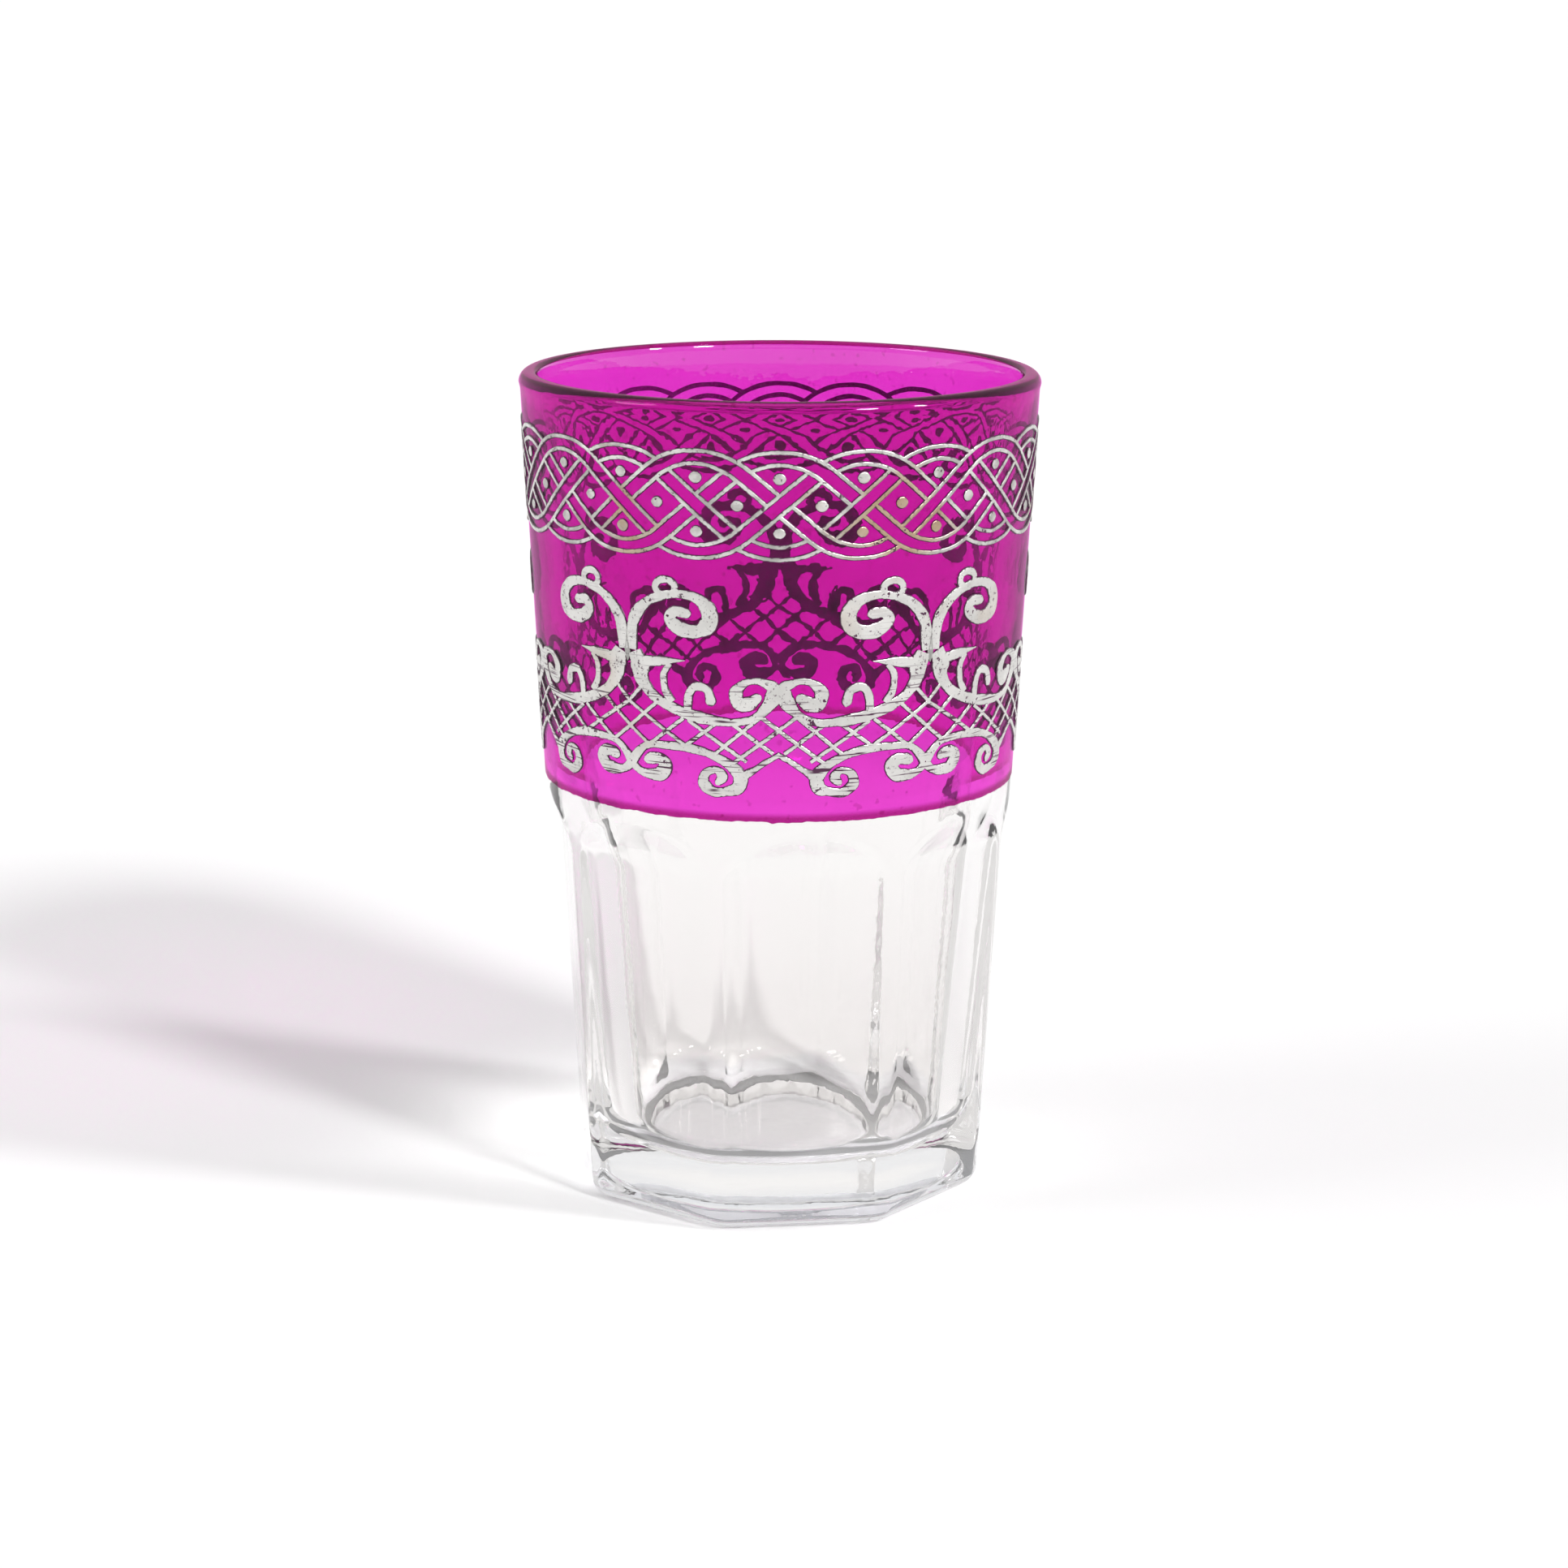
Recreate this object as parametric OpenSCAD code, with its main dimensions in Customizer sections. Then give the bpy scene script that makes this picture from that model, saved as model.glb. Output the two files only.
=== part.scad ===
// Moroccan tea glass: a pressed tumbler with a round upper wall, eight arched panels below and a thick sole.
// A transparent magenta coat is fired on the upper wall, and a silver relief of a braid and a scroll frieze lies on it.

/* [Glass] */
// Overall height of the glass
glass_h = 112.5; // [108:0.5:118]
// Outside diameter of the bead at the rim
rim_d = 70; // [68:0.1:72]
// Height of the rounded bead at the rim
bead_h = 2.2; // [1.8:0.1:2.6]
// How far the bead stands out from the wall just under it
bead_out = 0.2; // [0:0.05:0.6]
// How much narrower the wall is across the lower edge of the coat than across the bead
belt_step = 6.1; // [5.5:0.1:7]
// Height from the lower edge of the coat up to the lip
belt_drop = 55; // [53.5:0.1:55.3]

/* [Cup inside] */
// Wall thickness at the rim
rim_wall = 2.45; // [2.2:0.05:2.8]
// Radius of the rim's inner edge
inner_edge_r = 0.9; // [0.5:0.1:1]
// How much narrower the cup is at its floor, before the corner is rounded, than the foot
cup_step = 13.3; // [9:0.1:17]
// Thickness of glass under the cup
sole_t = 7.3; // [5:0.1:14]
// Radius of the corner between the cup's floor and its wall
cup_corner_r = 5.8; // [3:0.1:10]

/* [Panels and foot] */
// Number of flat panels round the lower half
panels = 8; // [7:1:9]
// Width of the narrow flat on the ridge between two panels
ridge_w = 2.1; // [1:0.1:3]
// How much narrower the glass is over the ridges, where they start to curve outward, than at the coat's lower edge
waist_step = 1; // [0.9:0.05:1.5]
// Distance from the top of each panel's arch up to the lower edge of the coat
arch_drop = 0.4; // [0.4:0.1:1]
// Distance from the top of each ridge up to the top of the arches
ridge_drop = 2.9; // [2.1:0.1:3.6]
// Distance from the top of each ridge down to where the panels start to curve outward
waist_drop = 2.4; // [1.7:0.1:6]
// How much narrower the glass is over the ridges just above the rounded foot than where they start to curve
foot_step = 5.8; // [5.5:0.1:7.4]
// Radius of the rounded edge under the foot
foot_round = 2.5; // [1:0.1:3]
// How much narrower the shallow hollow under the foot is than the foot
hollow_step = 17.1; // [13:0.1:27]
// Depth of the hollow under the foot
hollow_t = 1.4; // [0.6:0.1:2.5]
// Angle by which the front panel is turned to the right
panel_turn = 7; // [-22:0.1:22]

/* [Magenta coat] */
// Thickness of the fired coat
coat_t = 0.1; // [0.06:0.01:0.2]
// How far the coat stops below the top of the glass
coat_bare = 0.6; // [0.4:0.1:1]

/* [Silver relief] */
// How far the silver stands out from the coat
relief_t = 0.2; // [0.1:0.02:0.4]
// How far the silver paste spreads past its drawn edge
paste_spread = 0.04; // [0.02:0.01:0.08]
// Width of the hairline where two repeats of the print meet
print_gap = 0.05; // [0.02:0.01:0.1]
// Width of the gaps between two lines that the fired paste closes
gap_closed = 0.24; // [0.1:0.02:0.3]

/* [Braid] */
// Distance of the braid's middle line below the rim
braid_drop = 13.2; // [12.6:0.1:13.8]
// Rise of a strand's middle line to the top of its turn
braid_rise = 6.1; // [5.6:0.1:6.3]
// Width between a strand's two border lines at its turns
turn_w = 1.6; // [1.4:0.05:1.8]
// Width between a strand's two border lines on its straight runs
run_w = 2.05; // [1.8:0.05:2.2]
// Width of a border line
line_w = 0.58; // [0.4:0.02:0.7]
// Waves of each of the four strands round the glass
waves = 5; // [5:1:5]
// Diameter of the dots between the strands
dot_d = 1.7; // [1.2:0.1:2]
// Distance of the outer dots from the braid's middle line
dot_rise = 3.5; // [3.3:0.1:3.7]

/* [Scroll frieze] */
// Height of the frieze's lowest point above the lower edge of the coat
frieze_rise = 3.1; // [2.5:0.1:4]
// Distance from the top of the frieze up to the middle line of the braid's lowest turns
print_clear = 3.7; // [3.1:0.1:5]
// Width of the widest scroll band
scroll_w = 3; // [2.4:0.1:3.2]
// Width of the thin lattice bars
lattice_w = 0.58; // [0.4:0.02:0.8]
// Repeats of the frieze round the glass
repeats = 5; // [5:1:5]

/* [Hidden] */
$fn = 128;
// Overrun of a cutting shape past the surface that it cuts
over = 1;
// Straight steps in a rounded corner of a profile
round_steps = 6;
// Straight steps between two points of a scroll, in a strand's turn, and on its run between two crossings
scroll_steps = 1;
turn_steps = 4;
run_steps = 1;

// Points of an arc from one angle to another
function arc(centre, r, from, to) =
    [for (i = [0 : round_steps]) let (a = from + (to - from) * i / round_steps) centre + r * [cos(a), sin(a)]];

// Heights of the coat's lower edge, the arches, the ridges and the waist, each a step down from the one above it
belt_h = glass_h - belt_drop;
arch_h = belt_h - arch_drop;
ridge_h = arch_h - ridge_drop;
waist_h = ridge_h - waist_drop;

// Diameters over the ridges, under the coat and in the foot, each a step in from the one above it
belt_d = rim_d - belt_step;
waist_d = belt_d - waist_step;
foot_d = waist_d - foot_step;
hollow_d = foot_d - hollow_step;
cup_floor_d = foot_d - cup_step;

// Outer wall: one straight taper from the foot to the bead
bead_share = 0.62;
bead_r = bead_h * bead_share;
neck_h = glass_h - bead_h;
neck_r = rim_d / 2 - bead_out;
wall_taper = (neck_r - belt_d / 2) / (neck_h - belt_h);
function wall_r(z) = belt_d / 2 + wall_taper * (z - belt_h);

// Cup: a straight taper from the rim to the floor
cup_rim_r = rim_d / 2 - rim_wall;
cup_floor_r = cup_floor_d / 2;
cup_lean = atan2(cup_rim_r - cup_floor_r, glass_h - sole_t);
corner_x = cup_floor_r - cup_corner_r * tan((90 - cup_lean) / 2);
inner_edge_h = glass_h - inner_edge_r;
cup_edge_r = cup_rim_r - inner_edge_r * tan(cup_lean);

// Distance of a panel's face from the axis, where the ridges beside it have the given radius
function panel_r(r) = r * cos(180 / panels) + ridge_w / 2 * sin(180 / panels);

module outer_body() {
    rotate_extrude()
        polygon(concat(
            [[0, 0], [wall_r(0), 0], [neck_r, neck_h]],
            arc([rim_d / 2 - bead_r, glass_h - bead_r], bead_r, 0, 90),
            [[0, glass_h]]
        ));
}

module cup_space() {
    rotate_extrude()
        polygon(concat(
            [[0, sole_t]],
            arc([corner_x, sole_t + cup_corner_r], cup_corner_r, -90, -cup_lean),
            arc([cup_edge_r + inner_edge_r, inner_edge_h], inner_edge_r, 180, 90),
            [[cup_edge_r + inner_edge_r, glass_h + over], [0, glass_h + over]]
        ));
}

// What a flat leaves off the round body: it rises straight from the rounded foot,
// and sweeps outward in an arc until it leaves the wall at top_h
module flat_cut(foot_r, waist_r, top_h) {
    lean = atan2(waist_r - foot_r, waist_h - foot_round);
    depth = wall_r(top_h) - waist_r;
    rise = top_h - waist_h;
    sweep = 2 * (atan2(depth, rise) - lean);
    sweep_r = norm([depth, rise]) / (2 * sin(sweep / 2));
    centre = [-waist_r - sweep_r * cos(lean), waist_h - sweep_r * sin(lean)];
    rotate([90, 0, 90])
        linear_extrude(height = belt_d, center = true)
            polygon(concat(
                [[foot_round - foot_r, -over]],
                [for (p = arc([foot_r - foot_round, foot_round], foot_round, -90, -lean)) [-p[0], p[1]]],
                arc(centre, sweep_r, lean, lean + sweep + over),
                [[-belt_d, top_h + over], [-belt_d, -over]]
            ));
}

module glass_tumbler() {
    color([0.9, 0.94, 0.95, 0.5])
        difference() {
            outer_body();
            cup_space();
            for (i = [0 : panels - 1]) {
                rotate([0, 0, panel_turn + i * 360 / panels])
                    flat_cut(panel_r(foot_d / 2), panel_r(waist_d / 2), arch_h);
                rotate([0, 0, panel_turn + (i + 1 / 2) * 360 / panels])
                    flat_cut(foot_d / 2, waist_d / 2, ridge_h);
            }
            translate([0, 0, -over])
                cylinder(d = hollow_d, h = hollow_t + over);
        }
}

// The coat follows the wall and most of the bead, from the belt up
coat_top_a = asin((bead_r - coat_bare) / bead_r);

module magenta_coat() {
    bead_centre = [rim_d / 2 - bead_r, glass_h - bead_r];
    color([0.85, 0.1, 0.65, 0.7])
        rotate_extrude()
            polygon(concat(
                [[belt_d / 2, belt_h]],
                [[belt_d / 2 + coat_t, belt_h], [neck_r + coat_t, neck_h]],
                arc(bead_centre, bead_r + coat_t, 0, coat_top_a),
                arc(bead_centre, bead_r, coat_top_a, 0),
                [[neck_r, neck_h]]
            ));
}

// The silver lies in a thin shell on the coat, from one height to another, over this sweep of the front
module relief_shell(low, high, sweep) {
    rotate([0, 0, -90 - sweep / 2])
        rotate_extrude(angle = sweep)
            polygon([
                [wall_r(low) + coat_t, low],
                [wall_r(low) + coat_t + relief_t, low],
                [wall_r(high) + coat_t + relief_t, high],
                [wall_r(high) + coat_t, high]
            ]);
}

// A drawing in [angle, height] seen square from the front of the wall
function on_wall(p) = [(wall_r(p[1]) + coat_t + relief_t / 2) * sin(p[0]), p[1]];

// Presses a flat drawing onto the wall, for one of several repeats with a hairline between them
module pressed(low, high, count) {
    intersection() {
        relief_shell(low, high, 360 / count - print_gap / belt_d * 360 / PI);
        rotate([90, 0, 0])
            linear_extrude(height = rim_d)
                offset(delta = paste_spread - gap_closed / 2)
                    offset(delta = gap_closed / 2)
                        children();
    }
}

// Bands: a line of [along, up, width] points in millimetres on the unrolled wall becomes four-sided steps
function square_off(pts, i) =
    let (a = pts[max(i - 1, 0)], b = pts[min(i + 1, len(pts) - 1)])
    [a[1] - b[1], b[0] - a[0]] / norm([a[1] - b[1], b[0] - a[0]]);
function edge(pts, i, way) = [pts[i][0], pts[i][1]] + way * pts[i][2] / 2 * square_off(pts, i);

module band(pts, r, low) {
    for (i = [0 : len(pts) - 2])
        polygon([for (p = [edge(pts, i, 1), edge(pts, i + 1, 1), edge(pts, i + 1, -1), edge(pts, i, -1)])
            on_wall([p[0] / r * 180 / PI, low + p[1]])]);
}

// Braid: each strand swings between round turns above and below the middle line, with straight runs between
braid_z = glass_h - braid_drop;
columns = 4 * waves;
column_a = 360 / columns;
braid_r = wall_r(braid_z) + coat_t + relief_t / 2;
quarter = braid_r * column_a * PI / 180;
run_a = 40;
turn_r = (quarter * tan(run_a) - braid_rise) / (tan(run_a) * sin(run_a) - 1 + cos(run_a));

function lean_at(s) = abs(s) < turn_r * sin(run_a) ? asin(s / turn_r) : sign(s) * run_a;
function rise_at(s) = abs(s) < turn_r * sin(run_a)
    ? braid_rise - turn_r * (1 - cos(lean_at(s)))
    : tan(run_a) * (quarter - abs(s));
function half_w(s) = (turn_w + (run_w - turn_w) * abs(lean_at(s)) / run_a) / 2;
// A border line's point, where s runs from the turn above, and side is 1 outside the turn and -1 inside
function border(s, side) = [s, rise_at(s), 0] + side * half_w(s) * [sin(lean_at(s)), cos(lean_at(s)), 0];
// How far before or after a crossing a covered border line stops, at the line of the strand that covers it
function stop_at(s, side) =
    let (a = abs(lean_at(s))) half_w(s) * (1 - side * cos(2 * a)) / sin(2 * a) * cos(a);

// A strand's two border lines from s0 to s1, drawn from the turn above (up = 1) or below (up = -1).
// An open end runs on into its next length, and a covered one stops at the strand on top.
lap = line_w / 2;
module strand(s0, s1, open0, open1, steps, up, shift) {
    for (side = [-1, 1]) {
        a = s0 + (open0 ? -lap : stop_at(s0, s0 < 0 ? side : -side));
        b = s1 - (open1 ? -lap : stop_at(s1, s1 < 0 ? -side : side));
        line = [for (i = [0 : steps]) let (p = border(a + (b - a) * i / steps, side))
            [shift + p[0], up * p[1], line_w]];
        band(line, braid_r, braid_z);
    }
}

// Which strand lies on top at each crossing round the glass: 1 the falling one, 0 the rising one
over_above = [1, 1, 0, 1, 0, 1, 0, 1, 0, 1];
over_middle = [0, 0, 0, 1, 0, 1, 0, 0, 1, 1];
over_below = [1, 1, 0, 1, 0, 1, 0, 1, 0, 0];
function falling_over(list, j) = list[(j + len(list)) % len(list)] == 1;

// One column of the braid: a turn above, a turn below and two strands that cross between them
module braid_column(j, shift) {
    half = quarter / 2;
    strand(-half, half, !falling_over(over_above, j - 1), falling_over(over_above, j), turn_steps, 1, shift);
    strand(-half, half, falling_over(over_below, j - 1), !falling_over(over_below, j), turn_steps, -1, shift);
    strand(half, quarter, falling_over(over_above, j - 1), falling_over(over_middle, j), run_steps, 1,
        shift - quarter);
    strand(-quarter, -half, falling_over(over_middle, j), falling_over(over_below, j), run_steps, -1,
        shift + quarter);
    strand(half, quarter, !falling_over(over_below, j - 1), !falling_over(over_middle, j), run_steps, -1,
        shift - quarter);
    strand(-quarter, -half, !falling_over(over_middle, j), !falling_over(over_above, j), run_steps, 1,
        shift + quarter);
}

module silver_braid() {
    reach = braid_rise + turn_w + line_w;
    color([0.85, 0.85, 0.82])
        for (k = [0 : waves - 1])
            rotate([0, 0, (k + 1 / 8) * 360 / waves])
                pressed(braid_z - reach, braid_z + reach, waves)
                    for (c = [-1 : 2])
                        braid_column(4 * k + c, (c - 1 / 2) * quarter);
}

module silver_braid_dots() {
    color([0.85, 0.85, 0.82])
        intersection() {
            relief_shell(braid_z - braid_rise, braid_z + braid_rise, 360);
            for (j = [0 : columns - 1], row = [-1, 0, 1])
                rotate([0, 0, (j + (1 - abs(row)) / 2) * column_a])
                    translate([0, rim_wall - braid_r, braid_z + row * dot_rise])
                        rotate([90, 0, 0])
                            cylinder(d = dot_d, h = 2 * rim_wall);
        }
}

// A smooth curve through hand-set points, by Catmull and Rom's rule
function between(a, b, c, d, t) =
    (2 * b + (c - a) * t + (2 * a - 5 * b + 4 * c - d) * t * t + (3 * b - a - 3 * c + d) * t * t * t) / 2;
function smooth(pts) =
    let (last = len(pts) - 1)
    [for (i = [0 : last - 1], k = [0 : scroll_steps - 1])
        between(pts[max(i - 1, 0)], pts[i], pts[i + 1], pts[min(i + 2, last)], k / scroll_steps), pts[last]];

// Frieze: each repeat is drawn from its crest line to the valley line, and mirrored
frieze_z = belt_h + frieze_rise;
frieze_h = braid_z - braid_rise - print_clear - frieze_z;
frieze_r = wall_r(frieze_z + frieze_h / 2) + coat_t + relief_t / 2;
half_repeat = frieze_r * PI / repeats;

module scroll(shares, side, round_tip) {
    pts = [for (p = smooth(shares)) [side * p[0] * half_repeat, p[1] * frieze_h, p[2] * scroll_w]];
    tip = pts[len(pts) - 1];
    band(pts, frieze_r, frieze_z);
    if (round_tip)
        translate(on_wall([tip[0] / frieze_r * 180 / PI, frieze_z + tip[1]]))
            circle(d = tip[2], $fn = 8);
}

// Bands of the drawing, in shares of a half repeat, of the frieze's height and of the widest band
crest_scroll_shares = [
    [0.03, 0.655, 0.58], [0.045, 0.77, 0.62], [0.085, 0.83, 0.6], [0.17, 0.888, 0.5], [0.29, 0.922, 0.43],
    [0.4, 0.93, 0.44], [0.5, 0.912, 0.54], [0.568, 0.862, 0.74], [0.565, 0.8, 0.8], [0.49, 0.765, 0.67],
    [0.39, 0.77, 0.67], [0.315, 0.81, 0.64], [0.345, 0.848, 0.53], [0.42, 0.845, 0.5]
];
valley_scroll_shares = [
    [0.052, 0.647, 0.73], [0.088, 0.588, 1], [0.094, 0.54, 0.78], [0.127, 0.495, 0.6], [0.19, 0.45, 0.53],
    [0.273, 0.419, 0.53], [0.37, 0.393, 0.53], [0.467, 0.375, 0.57], [0.577, 0.363, 0.53], [0.688, 0.356, 0.4],
    [0.785, 0.363, 0.37], [0.867, 0.388, 0.4], [0.928, 0.433, 0.6], [0.97, 0.484, 0.8], [0.961, 0.52, 0.63],
    [0.928, 0.536, 0.47], [0.862, 0.55, 0.32], [0.79, 0.538, 0.38], [0.735, 0.495, 0.63], [0.751, 0.443, 0.63],
    [0.807, 0.443, 0.7], [0.859, 0.467, 0.53]
];
leaf_shares = [
    [0.094, 0.602, 0.53], [0.19, 0.612, 0.5], [0.273, 0.619, 0.42], [0.343, 0.623, 0.23], [0.409, 0.628, 0.04]
];
cup_shares = [
    [0.309, 0.609, 0.27], [0.265, 0.567, 0.37], [0.26, 0.522, 0.38], [0.273, 0.478, 0.4], [0.315, 0.433, 0.43]
];
hook_shares = [
    [0.42, 0.405, 0.43], [0.427, 0.464, 0.42], [0.456, 0.505, 0.4], [0.503, 0.514, 0.42], [0.552, 0.498, 0.43],
    [0.572, 0.453, 0.52]
];
low_scroll_shares = [
    [0.003, 0.138, 0.6], [0.077, 0.197, 0.4], [0.141, 0.223, 0.38], [0.232, 0.228, 0.37], [0.37, 0.228, 0.43],
    [0.494, 0.218, 0.43], [0.605, 0.192, 0.4], [0.702, 0.152, 0.53], [0.757, 0.104, 0.7], [0.74, 0.055, 0.63],
    [0.666, 0.036, 0.45], [0.583, 0.031, 0.5], [0.517, 0.069, 0.57], [0.536, 0.118, 0.43], [0.602, 0.133, 0.37],
    [0.641, 0.104, 0.5], [0.619, 0.081, 0.4]
];
low_crest_scroll_shares = [
    [0, 0.131, 0.53], [0.058, 0.097, 0.4], [0.135, 0.085, 0.53], [0.218, 0.093, 0.67], [0.257, 0.135, 0.7],
    [0.215, 0.163, 0.57], [0.155, 0.161, 0.57], [0.133, 0.156, 0.5]
];
low_valley_shares = [[1.01, 0.213, 0.27], [0.923, 0.178, 0.27], [0.854, 0.144, 0.3], [0.785, 0.114, 0.47]];
curled_shares = [crest_scroll_shares, valley_scroll_shares, hook_shares, low_scroll_shares, low_crest_scroll_shares];
plain_shares = [leaf_shares, cup_shares, low_valley_shares];
// Ends of the lattice bars, in shares of a half repeat and of the frieze's height
lattice_shares = [
    [-0.01, 0.41, 0.105, 0.495], [-0.01, 0.42, 0.425, 0.225], [-0.01, 0.295, 0.227, 0.436],
    [-0.01, 0.305, 0.135, 0.228], [0.135, 0.221, 0.39, 0.363], [0.42, 0.356, 0.798, 0.176],
    [0.39, 0.232, 0.602, 0.346], [0.577, 0.197, 0.881, 0.381], [0.688, 0.36, 0.964, 0.215],
    [0.715, 0.17, 1.01, 0.328], [0.887, 0.384, 1.01, 0.32]
];
// The ring on top of each crest scroll: its middle, its outside and its hole
ring_shares = [0.287, 0.955];
ring_w = 4.2;
ring_h = 2.6;
ring_hole_w = 1.7;
ring_hole_h = 1.1;

module frieze_half(side) {
    ring_at = on_wall([side * ring_shares[0] * 180 / repeats, frieze_z + ring_shares[1] * frieze_h]);
    for (shares = curled_shares)
        scroll(shares, side, true);
    for (shares = plain_shares)
        scroll(shares, side, false);
    for (b = lattice_shares)
        band([
            [side * b[0] * half_repeat, b[1] * frieze_h, lattice_w],
            [side * b[2] * half_repeat, b[3] * frieze_h, lattice_w]
        ], frieze_r, frieze_z);
    translate(ring_at)
        difference() {
            scale([ring_w, ring_h])
                circle(d = 1, $fn = 12);
            scale([ring_hole_w, ring_hole_h])
                circle(d = 1, $fn = 8);
        }
}

module silver_scroll_frieze() {
    color([0.85, 0.85, 0.82])
        for (k = [0 : repeats - 1])
            rotate([0, 0, (k + 1 / 2) * 360 / repeats])
                pressed(frieze_z - over, frieze_z + frieze_h + over, repeats)
                    for (side = [-1, 1])
                        frieze_half(side);
}

glass_tumbler();
magenta_coat();
silver_braid();
silver_braid_dots();
silver_scroll_frieze();
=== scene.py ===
import math

import bpy
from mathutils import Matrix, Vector, noise


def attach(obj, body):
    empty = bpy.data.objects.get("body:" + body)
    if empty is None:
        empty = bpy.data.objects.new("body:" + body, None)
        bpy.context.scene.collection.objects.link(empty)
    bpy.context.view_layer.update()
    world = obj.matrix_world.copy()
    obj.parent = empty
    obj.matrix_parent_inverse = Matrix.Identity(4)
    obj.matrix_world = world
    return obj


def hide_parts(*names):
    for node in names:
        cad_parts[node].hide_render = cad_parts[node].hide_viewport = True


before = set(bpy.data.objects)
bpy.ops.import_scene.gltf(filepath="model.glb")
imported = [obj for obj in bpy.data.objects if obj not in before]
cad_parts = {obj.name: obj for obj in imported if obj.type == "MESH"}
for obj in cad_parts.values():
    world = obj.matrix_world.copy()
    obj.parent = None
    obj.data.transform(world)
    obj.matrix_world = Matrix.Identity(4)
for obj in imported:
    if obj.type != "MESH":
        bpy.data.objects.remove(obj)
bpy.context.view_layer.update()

MM = 0.001


# The pressed glass
# One piece of clear soda glass, pressed in a mould: a round wall and bead above, eight arched
# panels with narrow flats between them below, and a thick sole with a shallow hollow under it.
# The mould leaves every edge soft, so the panels meet the wall and the flats in small rounds.

glass_h = 112.5
rim_r = 35.0
bead_h = 2.2
bead_r = bead_h * 0.62
neck_r, neck_h = 34.8, glass_h - bead_h
belt_r, belt_h = 31.95, 57.5
rim_wall = 2.45
inner_edge_r = 0.9
cup_floor_r = 21.9
sole_t = 7.3
cup_corner_r = 5.8
lip_under = 0.05
panels = 8
ridge_w = 2.1
foot_r, waist_r = 28.55, 31.45
foot_round = 2.5
waist_h = 51.8
arch_h, ridge_h = 57.1, 54.2
arch_start_h, arch_end_h = 49.0, 57.4
hollow_r, hollow_t = 19.8, 1.4
hollow_round, ring_round = 0.6, 0.7
panel_turn = 7.0
mould_round = 0.3
hair = 0.01
steps_round = 480


def wall_r(z):
    return belt_r + (neck_r - belt_r) * (z - belt_h) / (neck_h - belt_h)


def arc(centre, radius, start, end, steps):
    angles = [math.radians(start + (end - start) * i / steps) for i in range(steps + 1)]
    return [(centre[0] + radius * math.cos(a), centre[1] + radius * math.sin(a)) for a in angles]


def face_distance(z, radii, top_h):
    """Distance of a flat's face from the axis at a height, from the foot up its outward sweep."""
    at_foot, at_waist = radii
    if z < foot_round:
        return at_foot - foot_round + math.sqrt(max(foot_round ** 2 - (foot_round - z) ** 2, 0))
    lean = math.atan2(at_waist - at_foot, waist_h - foot_round)
    if z < waist_h:
        return at_foot + (z - foot_round) * math.tan(lean)
    depth, rise = wall_r(top_h) - at_waist, top_h - waist_h
    sweep = 2 * (math.atan2(depth, rise) - lean)
    sweep_r = math.hypot(depth, rise) / (2 * math.sin(sweep / 2))
    sine = math.sin(lean) + (z - waist_h) / sweep_r
    if sine >= 1:
        return wall_r(top_h) * 2
    return at_waist + sweep_r * (math.cos(lean) - math.sqrt(1 - sine ** 2))


def arch_distance(z, radii):
    """Distance of a wide panel's face from the axis, and of its arch's soft sweep into the wall."""
    at_foot, at_waist = radii
    if z < arch_start_h:
        return face_distance(z, radii, arch_h)
    lean = (at_waist - at_foot) / (waist_h - foot_round)
    straight = at_foot + (z - foot_round) * lean
    share = min((z - arch_start_h) / (arch_end_h - arch_start_h), 1)
    return straight + (wall_r(z) + 2 * hair - straight) * share ** 2 * (3 - 2 * share)


def soft_least(values, soft):
    """The least of some distances, with the corner between two of them rounded off."""
    ordered = sorted(values)
    least = ordered[0]
    for value in ordered[1:3]:
        overlap = max(soft - abs(value - least), 0) / soft
        least = min(value, least) - overlap ** 2 * soft / 4
    return least


half_panel = math.pi / panels


def across_ridges_to_panel(r):
    return r * math.cos(half_panel) + ridge_w / 2 * math.sin(half_panel)


wide_radii = [across_ridges_to_panel(r) for r in (foot_r, waist_r)]
ridge_radii = [foot_r, waist_r]


def pressed_r(angle, z):
    """Radius of the pressed outside at an angle from the front and a height."""
    turn = (angle - math.radians(panel_turn)) % (2 * half_panel)
    from_wide = min(turn, 2 * half_panel - turn)
    from_ridge = half_panel - from_wide
    wide = arch_distance(z, wide_radii) / math.cos(from_wide)
    ridge = face_distance(z, ridge_radii, ridge_h) / math.cos(from_ridge)
    return soft_least([wide, ridge, wall_r(z)], mould_round)


def spun(name, profile, steps, closed):
    """A new piece: a chain of points in a plane through the axis, spun round it."""
    chain = bpy.data.meshes.new(name)
    edges = [(i, i + 1) for i in range(len(profile) - 1)]
    if closed:
        edges.append((len(profile) - 1, 0))
    chain.from_pydata([(0, -r * MM, z * MM) for r, z in profile], edges, [])
    piece = bpy.data.objects.new(name, chain)
    bpy.context.scene.collection.objects.link(piece)
    bpy.ops.object.select_all(action="DESELECT")
    piece.select_set(True)
    bpy.context.view_layer.objects.active = piece
    bpy.ops.object.mode_set(mode="EDIT")
    bpy.ops.mesh.select_all(action="SELECT")
    bpy.ops.mesh.spin(steps=steps, angle=2 * math.pi, center=(0, 0, 0), axis=(0, 0, 1),
                      use_auto_merge=True)
    bpy.ops.mesh.select_all(action="SELECT")
    bpy.ops.mesh.remove_doubles(threshold=2e-7)
    bpy.ops.mesh.normals_make_consistent(inside=False)
    bpy.ops.mesh.faces_shade_smooth()
    bpy.ops.object.mode_set(mode="OBJECT")
    return piece


def rows(stops):
    """Heights from (height, step) stops, each step used up to the next stop."""
    heights = []
    for (low, step), (high, _) in zip(stops, stops[1:]):
        count = max(1, round((high - low) / step))
        heights += [low + (high - low) * i / count for i in range(count)]
    return heights + [stops[-1][0]]


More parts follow.
